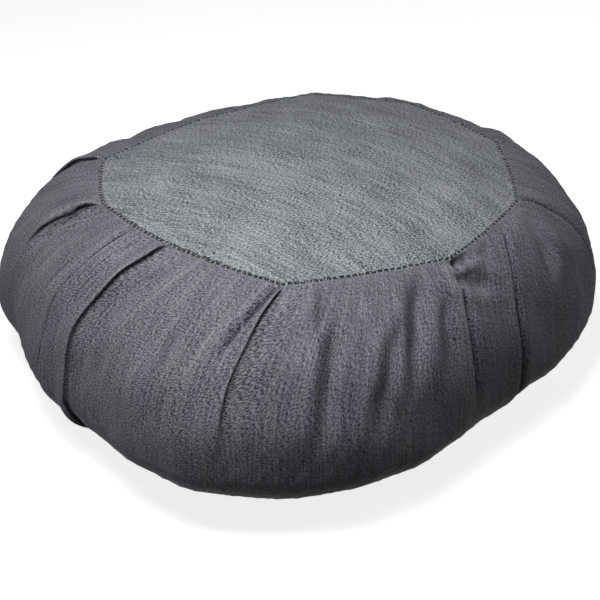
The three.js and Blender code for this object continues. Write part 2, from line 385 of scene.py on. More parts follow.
@dataclass(frozen=True)
class CushionForm:
    """The cushion's shape, mm, with the same sizes as its solids and the finer folds of its cloth."""

    crown_height: float = 139.0
    seam_height: float = 126.0
    belly_height: float = 46.0
    hem_height: float = 6.0
    crown_power: float = 2.2
    floor_share: float = 0.8
    belly_share: float = 0.58
    shoulder_angle: float = 14.0
    tuck_angle: float = 66.0
    seam_bow: float = 2.0
    band_length: float = 185.0  # from seam to seam, over the belly
    swing_end: float = 0.42
    fold_fade: float = 0.22
    foot_fade: float = 0.24
    foot_strength: float = 0.6
    panel_turn: float = -36.0  # direction of the panels' warp
    roll: float = 1.7  # radius to which the cloth rolls into a seam
    seam_gap: float = 0.8
    pucker: float = 0.45
    lump: float = 0.9
    column_pitch: float = 2.2
    row_pitch: float = 2.3
    pleats: tuple[Pleat, ...] = PLEATS
    tucks: tuple[Fold, ...] = TUCKS
    creases: tuple[Crease, ...] = CREASES

    def folds(self) -> list[Fold]:
        """Pleats and tucks, round the cushion."""
        return sorted([*self.pleats, *self.tucks], key=lambda fold: fold.angle)

    def span(self, angle: np.ndarray) -> tuple[np.ndarray, np.ndarray]:
        """Finds the pleat before each angle.

        Args:
            angle: Angles in degrees.

        Returns:
            The pleat's number, and the share of the way from it to the next.
        """
        starts = np.array([pleat.angle for pleat in self.pleats], dtype=float)
        turned = np.mod(angle - starts[0], 360) + starts[0]
        index = np.searchsorted(starts, turned, side="right") - 1
        gaps = np.mod(np.roll(starts, -1) - starts, 360)
        return index, (turned - starts[index]) / gaps[index]

    def smooth_radius(self, column: str, angle: np.ndarray) -> np.ndarray:
        """Runs one of the pleats' radii smoothly round the cushion.

        Args:
            column: Name of the radius.
            angle: Angles in degrees.

        Returns:
            The radius at each angle.
        """
        rows = np.array([getattr(pleat, column) for pleat in self.pleats], dtype=float)
        index, share = self.span(angle)
        return spline(np.concatenate([rows[-1:], rows, rows[:3]]), index + 1 + share)

    def seam_radius(self, angle: np.ndarray) -> np.ndarray:
        """Radius of the top seam: straight from pleat to pleat, but for a small bow.

        Args:
            angle: Angles in degrees.

        Returns:
            The radius at each angle.
        """
        turns = [math.radians(pleat.angle) for pleat in self.pleats]
        corners = np.array([(pleat.seam * math.cos(turn), pleat.seam * math.sin(turn))
                            for pleat, turn in zip(self.pleats, turns)])
        index, share = self.span(angle)
        start = corners[index]
        side = np.roll(corners, -1, axis=0)[index] - start
        cos, sin = np.cos(np.radians(angle)), np.sin(np.radians(angle))
        straight = (start[..., 0] * side[..., 1] - start[..., 1] * side[..., 0]) / (
            cos * side[..., 1] - sin * side[..., 0])
        return straight + self.seam_bow * 4 * share * (1 - share)

    def belly_radius(self, angle: np.ndarray) -> np.ndarray:
        """Radius of the band at its widest level, for each angle."""
        index, share = self.span(angle)
        puffs = np.array([pleat.puff for pleat in self.pleats], dtype=float)
        return self.smooth_radius("belly", angle) + puffs[index] * np.sin(np.pi * share) ** 2

    def band_section(self, angle: np.ndarray, down: np.ndarray) -> tuple[np.ndarray, ...]:
        """Section of the band: two arcs of ellipses that meet at the belly.

        Args:
            angle: Angles in degrees.
            down: Shares of the way down the band.

        Returns:
            Radius, height, and the outward direction's radial and upward parts.
        """
        belly = self.belly_radius(angle)
        upper = down < self.belly_share
        edge = np.where(upper, self.seam_radius(angle), self.smooth_radius("foot", angle))
        limit = np.radians(np.where(upper, 90 - self.shoulder_angle, self.tuck_angle))
        rise = np.where(upper, self.seam_height, self.hem_height) - self.belly_height
        turn = limit * np.where(upper, 1 - down / self.belly_share,
                                (down - self.belly_share) / (1 - self.belly_share))
        depth = (belly - edge) / (1 - np.cos(limit))
        height = rise / np.sin(limit)
        out = np.stack([height * np.cos(turn), depth * np.sin(turn)]) * np.sign(rise)
        out /= np.linalg.norm(out, axis=0)
        return belly - depth * (1 - np.cos(turn)), self.belly_height + height * np.sin(turn), out[0], out[1]

    def crease_angle(self, fold: Fold, down: np.ndarray) -> np.ndarray:
        """Angle of a fold's crease at each share of the way down the band."""
        return fold.angle + fold.lean * np.sin(np.pi / 2 * np.minimum(down / self.swing_end, 1))

    def fold_strength(self, fold: Fold, down: np.ndarray) -> np.ndarray:
        """How far a fold is folded, from 0 to 1, at each share of the way down the band."""
        faded = 0.0 if math.isinf(fold.fade) else smoothstep(fold.fade - self.fold_fade, fold.fade, down)
        from_top = smoothstep(0, fold.root, down) * (1 - faded)
        from_foot = self.foot_strength * smoothstep(1 - self.foot_fade, 1, down)
        return np.maximum(from_top, from_foot) * smoothstep(0, 0.1, 1 - down)

    def section_of(self, fold: Fold) -> np.ndarray:
        """Samples a fold's section smoothly.

        Args:
            fold: The fold.

        Returns:
            Rows of laid distance, folded distance and height.
        """
        knots = {FoldKind.KNIFE: FOLD_SECTION, FoldKind.GROOVE: GROOVE_SECTION,
                 FoldKind.HEMMED: np.vstack([HEM_SECTION, FOLD_SECTION])}[fold.kind]
        return spline(knots, np.linspace(0, len(knots) - 1, (len(knots) - 1) * 2 + 1))

    def fold_place(self, fold: Fold, section: np.ndarray, down: np.ndarray) -> tuple[np.ndarray, np.ndarray]:
        """Places a fold's section on the band.

        Args:
            fold: The fold.
            section: Rows of laid distance, folded distance and height.
            down: Shares of the way down the band, as a column.

        Returns:
            Angles and lifts, one row for each share.
        """
        strength = self.fold_strength(fold, down)
        crease = self.crease_angle(fold, down)
        upper = down < self.belly_share
        radius = np.where(upper, self.band_section(crease, down)[0], self.belly_radius(crease))
        across = section[:, 0] + (section[:, 1] - section[:, 0]) * strength
        hold = np.maximum(strength, smoothstep(0.0, 0.02, down)) if fold.kind is FoldKind.HEMMED else strength
        return crease + np.degrees(across / radius), fold.lip * section[:, 2] * hold

    def band_places(self, downs: np.ndarray) -> tuple[np.ndarray, np.ndarray, np.ndarray, np.ndarray]:
        """Places the columns of points round the band.

        Args:
            downs: Shares of the way down the band.

        Returns:
            Angles and lifts, one row for each share, each column's distance along the cloth, and the wear
            with
            painted shading: paler fold edges, partly painted highlight, and painted shade in the hem's
                groove.
        """
        folds, down = self.folds(), downs[:, None]
        angles, lifts, laid, wear_and_painted_shading = [], [], [], []
        start_of_fold = 0.0
        for fold, following in zip(folds, folds[1:] + folds[:1]):
            section = self.section_of(fold)
            angle, lift = self.fold_place(fold, section, down)
            end_angle, end_lift = self.fold_place(following, self.section_of(following)[:1], down)
            width = np.mod(end_angle - angle[:, -1:], 360)
            free = math.radians(float(width[len(downs) // 2, 0])) * float(self.belly_radius(angle[0, -1]))
            steps = max(3, round(free / self.column_pitch))
            share = np.arange(1, steps) / steps
            edge = np.where(share < 0.5, lift[:, -1:], end_lift)
            angles += [angle, angle[:, -1:] + width * share]
            lifts += [lift, edge * np.cos(np.pi * share) ** 2]
            places = section[:, 0] - section[0, 0]
            laid += [start_of_fold + places, start_of_fold + places[-1] + free * share]
            # Each fold's edge is painted paler, partly rubbed wear and partly painted highlight on the lip
            rubbed_and_shaded = np.exp(-((section[:, 0] + 0.6) / 1.3) ** 2) * self.fold_strength(fold, down)
            if fold.kind is FoldKind.HEMMED:
                # The hem's ridge is painted paler, partly rubbed wear and partly painted highlight; its
                # stitched groove gets painted shade
                ridge = np.exp(-((section[:, 0] + 26.6) / 1.2) ** 2)
                groove = np.exp(-((section[:, 0] + 28.6) / 0.8) ** 2)
                rubbed_and_shaded = rubbed_and_shaded + (ridge - 1.6 * groove) * smoothstep(0, 0.02, down)
            wear_and_painted_shading += [rubbed_and_shaded, np.zeros((len(downs), steps - 1))]
            start_of_fold += places[-1] + free
        return np.hstack(angles), np.hstack(lifts), np.concatenate(laid), np.hstack(wear_and_painted_shading)

    def crease_lift(self, angle: np.ndarray, down: np.ndarray,
                    radius: np.ndarray) -> tuple[np.ndarray, np.ndarray]:
        """Sum of the soft creases.

        Args:
            angle: Angles in degrees.
            down: Shares of the way down the band.
            radius: Radius of the band there, mm.

        Returns:
            Lift at each place, mm, and the painted shade along the creases' lines, with a painted highlight
            beside it.
        """
        lift, shade = np.zeros_like(radius), np.zeros_like(radius)
        for crease in self.creases:
            turns, shares = np.array(crease.path, dtype=float).T
            along = (down - shares[0]) / (shares[-1] - shares[0])
            away = np.mod(angle - np.interp(down, shares, turns) + 180, 360) - 180
            across = np.radians(away) * radius / crease.width
            profile = crease.ridge * np.exp(-(across + 1.7) ** 2) - np.exp(-across ** 2)
            reach = smoothstep(0, 0.1 if crease.sharp else 0.3, along) * (1 - smoothstep(0.5, 1, along))
            lift += crease.depth * profile * reach
            # Painted shade: a dark line down the trough, with a paler painted highlight on its ridge side
            line = np.exp(-2 * (across + 1.2) ** 2) - 1.6 * np.exp(-3 * across ** 2)
            shade += crease.sharp * line * reach
        return lift, shade

    def lumps(self, points: np.ndarray) -> np.ndarray:
        """Soft unevenness of the filling, as a lift at each point, mm."""
        draw = np.random.default_rng(11)
        total = np.zeros(points.shape[:-1])
        for _ in range(14):
            way = draw.normal(size=3)
            wave = 2 * np.pi / draw.uniform(32, 80)
            total += np.sin(points @ (way / np.linalg.norm(way)) * wave + draw.uniform(0, 2 * np.pi))
        return self.lump * total / math.sqrt(14)

    def puckers(self, angle: np.ndarray, distance: np.ndarray) -> np.ndarray:
        """Small gathers along a seam, as a lift at each angle and distance from the seam, mm."""
        draw = np.random.default_rng(23)
        total = np.zeros(np.broadcast(angle, distance).shape)
        for count in (47, 58, 71, 83, 97):
            total = total + np.sin(np.radians(angle) * count + draw.uniform(0, 2 * np.pi))
        return self.pucker * total / 2 * np.exp(-distance / 9) * smoothstep(0, 1.5, distance)

    def rolled(self, distance: np.ndarray) -> np.ndarray:
        """How far the cloth has rolled down into a seam at a distance from it, mm, as a lift below zero."""
        short = np.clip(self.roll - distance, 0, self.roll)
        return np.sqrt(self.roll ** 2 - short ** 2) - self.roll

    def rows(self) -> np.ndarray:
        """Distances of the band's rows from the top seam, mm, closest at the two seams."""
        near = np.array([0, 0.12, 0.3, 0.55, 0.85, 1.2, 1.7, 2.4, 3.3, 4.5, 6.0, 7.8])
        far = np.linspace(9.8, self.band_length - 9.8, round((self.band_length - 19.6) / self.row_pitch))
        return np.concatenate([near, far, self.band_length - near[::-1]])

    def polar(self, angle: np.ndarray, radius: np.ndarray, height: np.ndarray) -> np.ndarray:
        """Points at angles, radii and heights."""
        turn = np.radians(angle)
        return np.stack(np.broadcast_arrays(radius * np.cos(turn), radius * np.sin(turn), height), axis=-1)

    def band(self) -> tuple[Skin, np.ndarray]:
        """Works out the outside of the band, from the top seam down.

        Returns:
            The surface, and the angles of its points.
        """
        distance = self.rows()
        downs = distance / self.band_length
        angle, lift, laid, worn_and_shaded = self.band_places(downs)
        down = np.broadcast_to(downs[:, None], angle.shape)
        radius, height, out, up = self.band_section(angle, down)
        from_seam = np.minimum(distance, self.band_length - distance)[:, None]
        creased, shade = self.crease_lift(angle, down, radius)
        lift = lift + creased + self.puckers(angle, from_seam)
        lift = lift + self.lumps(self.polar(angle, radius, height)) * smoothstep(0, 30, from_seam)
        lift = lift + self.rolled(from_seam)
        points = self.polar(angle, radius + lift * out, height + lift * up)
        points[..., 2] = np.maximum(points[..., 2], 0.3)
        cloth = np.stack(np.broadcast_arrays(laid[None, :] * MM, -distance[:, None] * MM), axis=-1)
        # Painted shade: within 0.8 mm of a seam the cloth is painted dark; just beyond, the seam edge is
        # painted paler, partly rubbed wear and partly painted highlight
        wear_and_painted_shading = np.where(from_seam < 0.8, -1.5, worn_and_shaded + shade + 0.5 * np.exp(-from_seam / 1.2))
        return Skin(points, cloth, wear_and_painted_shading), angle

    def panel_cut(self, points: np.ndarray, grain: Grain) -> np.ndarray:
        """Lays a panel's points out on its cloth.

        Args:
            points: The points, mm.
            grain: How the panel was cut.

        Returns:
            Cloth coordinates, metres, with the warp along the second.
        """
        turn = math.radians(self.panel_turn)
        along = points[..., 0] * math.cos(turn) + points[..., 1] * math.sin(turn)
        across = points[..., 1] * math.cos(turn) - points[..., 0] * math.sin(turn)
        return np.stack([across + grain.value * along ** 2, along], axis=-1) * MM

    def ring_shares(self) -> np.ndarray:
        """Shares of a panel's radius at which its rings lie, from the middle outwards."""
        edge = 1 - np.array([6.0, 4.5, 3.3, 2.4, 1.7, 1.2, 0.85, 0.55, 0.3, 0.12, 0]) / 125
        return np.concatenate([np.linspace(0.025, edge[0] - 0.018, 38), edge])

    def crown(self, angle: np.ndarray) -> Skin:
        """Works out the top panel's outer face, from the middle outwards.

        Args:
            angle: Angles of the columns at the seam.

        Returns:
            The surface.
        """
        share = self.ring_shares()[:, None]
        edge = self.seam_radius(angle)[None, :] - self.seam_gap
        radius = share * edge
        even = np.linspace(0, 360, 720, endpoint=False)
        waves = np.fft.rfft(self.seam_radius(even))
        waves[4:] = 0
        calm = np.interp(np.mod(angle, 360), even, np.fft.irfft(waves, 720), period=360)[None, :]
        reach = radius / calm + (share - radius / calm) * smoothstep(0.45, 1, share)
        height = self.crown_height + (self.seam_height - self.crown_height) * reach ** self.crown_power
        from_seam = edge - radius
        points = self.polar(angle[None, :], radius, height)
        lift = self.lumps(points) * 0.8 * smoothstep(0, 35, from_seam)
        points[..., 2] += lift + self.puckers(angle[None, :], from_seam) + self.rolled(from_seam)
        # Painted shade: within 0.8 mm of the seam the cloth is painted dark; just beyond, the seam edge is
        # painted paler, partly rubbed wear and partly painted highlight
        wear_and_painted_shading = np.where(from_seam < 0.8, -1.5, 0.5 * np.exp(-from_seam / 1.2))
        return Skin(points, self.panel_cut(points, Grain.BOWED), wear_and_painted_shading)

    def floor(self, angle: np.ndarray) -> Skin:
        """Works out the bottom panel's outer face, from the middle outwards.

        Args:
            angle: Angles of the columns at the bottom seam.

        Returns:
            The surface.
        """
        share = self.ring_shares()[:, None]
        edge = self.smooth_radius("foot", angle)[None, :] - self.seam_gap
        radius = share * edge
        past = np.maximum(0, (share - self.floor_share) / (1 - self.floor_share))
        from_seam = edge - radius
        height = self.hem_height * past ** 2 - self.rolled(from_seam)
        points = self.polar(angle[None, :], radius, height)
        # Painted shade: within 0.8 mm of the seam the cloth is painted dark; just beyond, the seam edge is
        # painted paler, partly rubbed wear and partly painted highlight
        wear_and_painted_shading = np.where(from_seam < 0.8, -1.5, 0.5 * np.exp(-from_seam / 1.2))
        return Skin(points, self.panel_cut(points, Grain.STRAIGHT), wear_and_painted_shading)


def closed_mesh(name: str, rows: Sequence[np.ndarray], cloth: Sequence[np.ndarray],
                wear_and_painted_shading: Sequence[np.ndarray], around: float) -> bpy.types.Object:
    """Makes a closed body from rows of points, listed upwards.

    Args:
        name: Name of the new object.
        rows: Points of each row, mm; the first and last rows have one point each.
        cloth: Cloth coordinates of the points, metres.
        wear_and_painted_shading: Rubbed wear of the points with painted shading, below 0 where shade is
            painted
        in, above 0 where edges are painted paler, partly as highlight.
        around: Width of the cloth all round, metres, or 0 where its coordinates don't wrap.

    Returns:
        The new object.
    """
    columns = len(rows[1])
    points = (np.vstack(rows) + FRAME_SHIFT) * MM
    last = len(points) - 1
    step = np.arange(columns)
    after = (step + 1) % columns
    faces = [np.stack([np.zeros(columns, int), 1 + after, 1 + step], axis=-1).tolist()]
    for row in range(len(rows) - 3):
        low, high = 1 + row * columns, 1 + (row + 1) * columns
        faces.append(np.stack([low + step, low + after, high + after, high + step], axis=-1).tolist())
    top = 1 + (len(rows) - 3) * columns
    faces.append(np.stack([top + step, top + after, np.full(columns, last)], axis=-1).tolist())
    mesh = bpy.data.meshes.new(name)
    mesh.from_pydata(points.tolist(), [], [face for strip in faces for face in strip])
    corners = np.empty(len(mesh.loops), dtype=np.int32)
    mesh.loops.foreach_get("vertex_index", corners)
    flat = np.vstack(cloth)[corners]
    if around:
        sizes = np.empty(len(mesh.polygons), dtype=np.int32)
        mesh.polygons.foreach_get("loop_total", sizes)
        starts = np.concatenate([[0], np.cumsum(sizes)[:-1]])
        widest = np.repeat(np.maximum.reduceat(flat[:, 0], starts), sizes)
        flat[:, 0] += np.where(widest - flat[:, 0] > around / 2, around, 0)
    layer = mesh.uv_layers.new(name=UV_NAME)
    layer.data.foreach_set("uv", flat.astype(np.float32).ravel())
    rubbed_and_shaded = mesh.attributes.new(SHADING_AND_WEAR_NAME, "FLOAT", "POINT")
    rubbed_and_shaded.data.foreach_set("value", np.concatenate(wear_and_painted_shading).astype(np.float32))
    mesh.polygons.foreach_set("use_smooth", np.ones(len(mesh.polygons), dtype=bool))
    mesh.update()
    made = bpy.data.objects.new(name, mesh)
    bpy.context.scene.collection.objects.link(made)
    return made


@dataclass(frozen=True)
class ClothRun:
    """Cloth simulation of the filled cushion, on a coarse copy of its skin."""

    pressure: float = 4.0
    frames: int = 20
    hold: float = 0.55  # how firmly the filling holds the cloth away from seams and folds
    slack: float = 0.008  # share by which the cloth is cut too wide
    cap: float = 4.0  # furthest that a point may move, mm
    pitch: float = 6.0  # between two columns of points, mm
    row_step: int = 3
    seam_rows: int = 4  # rows by a seam that are held fast

    def settle(self, skins: Sequence[Skin]) -> None:
        """Runs the simulation and moves the surfaces' points by what it finds.

        Args:
            skins: Surfaces from the middle of the bottom to the middle of the top, each listed upwards.
        """
        laid = skins[1].cloth[0, :, 0] / MM
        columns = np.unique(np.searchsorted(laid, np.arange(0, laid[-1], self.pitch)))
        picks = [np.unique(np.append(np.arange(0, len(skin.points), self.row_step), len(skin.points) - 1))
                 for skin in skins]
        rows = [skin.points[pick][:, columns] for skin, pick in zip(skins, picks)]
        stacked = np.concatenate(rows)
        flat = [np.zeros((len(columns), 2))] * len(stacked)
        ends = [stacked[0].mean(axis=0)[None, :], stacked[-1].mean(axis=0)[None, :]]
        calm = [np.zeros(len(row)) for row in (ends[0], *stacked, ends[1])]
        flat = [flat[0][:1], *flat, flat[0][:1]]
        body = closed_mesh("cloth_run", [ends[0], *stacked, ends[1]], flat, calm, 0.0)
        fold = np.clip(skins[1].wear_and_painted_shading[:, columns].max(axis=0), 0, 1)
        floor_grip, band_grip, crown_grip = (np.ones(part.shape[:2]) for part in rows)
        near = self.seam_rows
        band_grip[near:-near] = self.hold + (1 - self.hold) * fold
        crown_grip[near:] = self.hold
        grip = [floor_grip, band_grip, crown_grip]
        weights = np.concatenate([[1], np.concatenate(grip).ravel(), [self.hold]])
        pins = body.vertex_groups.new(name="held")
        for level in np.unique(weights.round(2)):
            pins.add(np.flatnonzero(weights.round(2) == level).tolist(), float(level), "REPLACE")
        cloth = body.modifiers.new("cloth", "CLOTH").settings
        cloth.quality, cloth.mass, cloth.air_damping = 6, 0.15, 2.0
        cloth.tension_stiffness = cloth.compression_stiffness = 12.0
        cloth.shear_stiffness, cloth.bending_stiffness = 4.0, 0.3
        cloth.vertex_group_mass, cloth.pin_stiffness = pins.name, 1.0
        cloth.use_pressure, cloth.uniform_pressure_force = True, self.pressure
        cloth.shrink_min, cloth.effector_weights.gravity = -self.slack, 0.0
        before = np.concatenate([ends[0], stacked.reshape(-1, 3), ends[1]])
        scene = bpy.context.scene
        for number in range(1, self.frames + 1):
            scene.frame_set(number)
        moved = body.evaluated_get(bpy.context.evaluated_depsgraph_get()).to_mesh()
        places = np.empty(len(before) * 3, dtype=np.float32)
        moved.vertices.foreach_get("co", places)
        shift = places.reshape(-1, 3) / MM - FRAME_SHIFT - before
        scene.frame_set(1)
        bpy.data.objects.remove(body)
        length = np.linalg.norm(shift, axis=1, keepdims=True)
        shift *= np.minimum(1, self.cap / np.maximum(length, 1e-6))
        LOG.info("cloth run: %.2f mm on average, %.2f mm at most", length.mean(), length.max())
        start = 1
        for skin, pick in zip(skins, picks):
            part = shift[start:start + len(pick) * len(columns)].reshape(len(pick), len(columns), 3)
            start += len(pick) * len(columns)
            count, around = skin.points.shape[:2]
            for axis in range(3):
                tall = np.stack(
                    [np.interp(np.arange(count), pick, line) for line in part[..., axis].T], axis=1)
                skin.points[..., axis] += np.stack(
                    [np.interp(np.arange(around), columns, line, period=around) for line in tall])


@dataclass
class ClothShell:
    """The three cloths of the cushion, as closed pieces."""

    form: CushionForm = field(default_factory=CushionForm)
    run: ClothRun = field(default_factory=ClothRun)
    thickness: float = 2.0
    clearance: float = 0.4
    hollow: float = 5.0  # how far the filling stays below the middle of the panels

    def __post_init__(self) -> None:
        """Works out the surfaces."""
        self.band_skin, self.angles = self.form.band()
        self.crown_skin = self.form.crown(self.angles[0])
        self.floor_skin = self.form.floor(self.angles[-1])
        upwards = [Skin(skin.points[::way], skin.cloth[::way], skin.wear_and_painted_shading[::way]) for skin, way in (
            (self.floor_skin, 1), (self.band_skin, -1), (self.crown_skin, -1))]
        self.run.settle(upwards)

    def band_cloth(self, finish: bpy.types.Material) -> bpy.types.Object:
        """Builds the band with its filling.

        Args:
            finish: Its denim.

        Returns:
            The new piece.
        """
        seat = self.thickness + self.clearance
        skin, count = self.band_skin, self.band_skin.points.shape[1]
        inner = [-12, -22, -30]
        under = [self.floor_skin.points[at] + (0, 0, seat) for at in inner[::-1]]
        depths = [seat, seat + self.hollow / 2, seat + self.hollow]
        over = [self.crown_skin.points[at] - (0, 0, depth) for at, depth in zip(inner, depths)]
        low_wall = skin.points[-1] + (0, 0, 0.9)
        high_wall = skin.points[0] - (0, 0, 0.9)
        rows = [np.array([[0, 0, seat]]), *under, low_wall, *skin.points[::-1], high_wall, *over,
                np.array([[0, 0, self.form.crown_height - seat - self.hollow]])]
        hidden = np.zeros((count, 2))
        cloth = [np.zeros((1, 2)), *[hidden] * 3, skin.cloth[-1], *skin.cloth[::-1], skin.cloth[0],
                 *[hidden] * 3, np.zeros((1, 2))]
        calm = np.zeros(count)
        wear_and_painted_shading = [calm[:1], *[calm] * 4, *skin.wear_and_painted_shading[::-1], *[calm] * 4, calm[:1]]
        around = float(skin.cloth[0, -1, 0] + self.form.column_pitch * MM)
        piece = closed_mesh("band_cloth", rows, cloth, wear_and_painted_shading, around)
        piece.data.materials.append(finish)
        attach(piece, "root")
        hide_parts("side_band")
        return piece

    def panel_cloth(self, name: str, skin: Skin, inward: float, grain: Grain,
                    finish: bpy.types.Material) -> bpy.types.Object:
        """Builds a panel as a sheet with its thickness.

        Args:
            name: Name of the new piece.
            skin: Its outer face, from the middle outwards.
            inward: Height of its inner face over the outer one, mm.
            grain: How it was cut.
            finish: Its denim.

        Returns:
            The new piece.
        """
        rings = [-1, -3, -6, -11, -16, -26, -36]
        shift = np.array([0, 0, inward])
        edge = skin.points[-1] + np.array([0, 0, inward * 0.4])
        inner = [skin.points[at] + shift for at in rings]
        inner[0] = edge
        middle = skin.points[0].mean(axis=0)
        outer = list(skin.points[::-1])
        rows = [(middle + shift)[None, :], *inner[::-1], *outer, middle[None, :]]
        flat = [self.form.panel_cut(row, grain) for row in rows]
        calm = np.zeros(len(edge))
        wear_and_painted_shading = [calm[:1], *[calm] * len(inner), *skin.wear_and_painted_shading[::-1], calm[:1]]
        if inward > 0:
            rows, flat, wear_and_painted_shading = rows[::-1], flat[::-1], wear_and_painted_shading[::-1]
        piece = closed_mesh(name, rows, flat, wear_and_painted_shading, 0.0)
        piece.data.materials.append(finish)
        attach(piece, "root")
        return piece

    def dress(self, band_denim: bpy.types.Material,
              panel_denim: bpy.types.Material) -> list[bpy.types.Object]:
        """Args:
            band_denim: Finish of the band, the denim painted darker and bluer as a shaded copy.
            panel_denim: Finish of the panels, the denim painted paler and greener as a lit copy.

        Returns:
            The new pieces.
        """
        band = self.band_cloth(band_denim)
        top = self.panel_cloth("top_cloth", self.crown_skin, -self.thickness, Grain.BOWED, panel_denim)
        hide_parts("top_panel")
        bottom = self.panel_cloth(
            "bottom_cloth", self.floor_skin, self.thickness, Grain.STRAIGHT, panel_denim)
        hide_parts("bottom_panel")
        return [band, top, bottom]


@dataclass(frozen=True)
class StitchRow:
    """A row of stitches along a seam."""

    name: str
    pitch: float  # mm
    length: float  # mm
    thread: float  # radius of the thread, mm
    arch: float  # height of a stitch, mm
    turn: float  # degrees from the row's own direction
    slot: str

    def tree(self) -> bpy.types.NodeTree:
        """Builds the node tree that lays stitches along a path.

        Returns:
            The new tree.
        """
        tree = bpy.data.node_groups.new(f"{self.name}_tree", "GeometryNodeTree")
        face = tree.interface
        face.new_socket("Path", in_out="INPUT", socket_type="NodeSocketGeometry")
        for name in ("Pitch", "Length", "Thread", "Arch", "Turn"):
            face.new_socket(name, in_out="INPUT", socket_type="NodeSocketFloat")
        face.new_socket("Finish", in_out="INPUT", socket_type="NodeSocketMaterial")
        face.new_socket("Stitches", in_out="OUTPUT", socket_type="NodeSocketGeometry")
        given = add_node(tree, "NodeGroupInput").outputs
        path = add_node(tree, "GeometryNodeMeshToCurve", {"Mesh": given["Path"]}).outputs[0]
        evenly = add_node(tree, "GeometryNodeResampleCurve", {
            "Curve": path, "Length": given["Pitch"]}, mode="LENGTH")
        half, back, sunk = (
            add_node(tree, "ShaderNodeMath", {0: given[name], 1: share}, operation="MULTIPLY").outputs[0]
            for name, share in (("Length", 0.5), ("Length", -0.5), ("Arch", -0.8)))
        start = add_node(tree, "ShaderNodeCombineXYZ", {"X": back, "Z": sunk}).outputs[0]
        middle = add_node(tree, "ShaderNodeCombineXYZ", {"Z": given["Arch"]}).outputs[0]
        end = add_node(tree, "ShaderNodeCombineXYZ", {"X": half, "Z": sunk}).outputs[0]
        strand = add_node(tree, "GeometryNodeCurveQuadraticBezier", {
            "Resolution": 6, "Start": start, "Middle": middle, "End": end}).outputs[0]
        ring = add_node(tree, "GeometryNodeCurvePrimitiveCircle", {
            "Resolution": 6, "Radius": given["Thread"]})
        stitch = add_node(tree, "GeometryNodeCurveToMesh", {
            "Curve": strand, "Profile Curve": ring.outputs[0], "Fill Caps": True}).outputs[0]
        tangent = add_node(tree, "GeometryNodeInputTangent").outputs[0]
        normal = add_node(tree, "GeometryNodeInputNamedAttribute", {
            "Name": NORMAL_NAME}, data_type="FLOAT_VECTOR")
        along = add_node(tree, "FunctionNodeAlignRotationToVector", {"Vector": tangent}, axis="X")
        upright = add_node(tree, "FunctionNodeAlignRotationToVector", {
            "Rotation": along.outputs[0], "Vector": normal.outputs[0]}, axis="Z", pivot_axis="X")
        sway = add_node(tree, "FunctionNodeRandomValue", {2: -0.16, 3: 0.16, "Seed": 5}, data_type="FLOAT")
        turned = add_node(tree, "ShaderNodeMath", {0: given["Turn"], 1: sway.outputs[1]}, operation="ADD")
        spin = add_node(tree, "FunctionNodeAxisAngleToRotation", {
            "Axis": (0, 0, 1), "Angle": turned.outputs[0]})
        facing = add_node(tree, "FunctionNodeRotateRotation", {
            "Rotation": upright.outputs[0], "Rotate By": spin.outputs[0]}, rotation_space="LOCAL")
        size = add_node(tree, "FunctionNodeRandomValue", {2: 0.86, 3: 1.12, "Seed": 9}, data_type="FLOAT")
        laid = add_node(tree, "GeometryNodeInstanceOnPoints", {
            "Points": evenly.outputs[0], "Instance": stitch, "Rotation": facing.outputs[0],
            "Scale": size.outputs[1]})
        real = add_node(tree, "GeometryNodeRealizeInstances", {"Geometry": laid.outputs[0]})
        soft = add_node(tree, "GeometryNodeSetShadeSmooth", {"Geometry": real.outputs[0]})
        done = add_node(tree, "GeometryNodeSetMaterial", {
            "Geometry": soft.outputs[0], "Material": given["Finish"]})
        add_node(tree, "NodeGroupOutput", {"Stitches": done.outputs[0]})
        return tree

    def sew(self, points: np.ndarray, normals: np.ndarray, closed: bool,
            finish: bpy.types.Material) -> bpy.types.Object:
        """Sews the row along a path.

        Args:
            points: Path of the row, mm.
            normals: Outward direction of the cloth along it.
            closed: Whether the path runs all round.
            finish: The thread.

        Returns:
            The new piece, as a plain mesh.
        """
        count = len(points)
        edges = [(at, (at + 1) % count) for at in range(count if closed else count - 1)]
        mesh = bpy.data.meshes.new(self.name)
        mesh.from_pydata(((points + FRAME_SHIFT) * MM).tolist(), edges, [])
        mesh.attributes.new(NORMAL_NAME, "FLOAT_VECTOR", "POINT").data.foreach_set(
            "vector", normals.astype(np.float32).ravel())
        piece = bpy.data.objects.new(self.name, mesh)
        bpy.context.scene.collection.objects.link(piece)
        tree = self.tree()
        laying = piece.modifiers.new("stitches", "NODES")
        laying.node_group = tree
        values = {"Pitch": self.pitch * MM, "Length": self.length * MM, "Thread": self.thread * MM,
                  "Arch": self.arch * MM, "Turn": math.radians(self.turn), "Finish": finish}
        for item in tree.interface.items_tree:
            if item.in_out == "INPUT" and item.name in values:
                laying[item.identifier] = values[item.name]
        evaluated = piece.evaluated_get(bpy.context.evaluated_depsgraph_get())
        piece_mesh = bpy.data.meshes.new_from_object(evaluated)
        piece.modifiers.clear()
        piece.data = piece_mesh
        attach(piece, "root")
        return piece


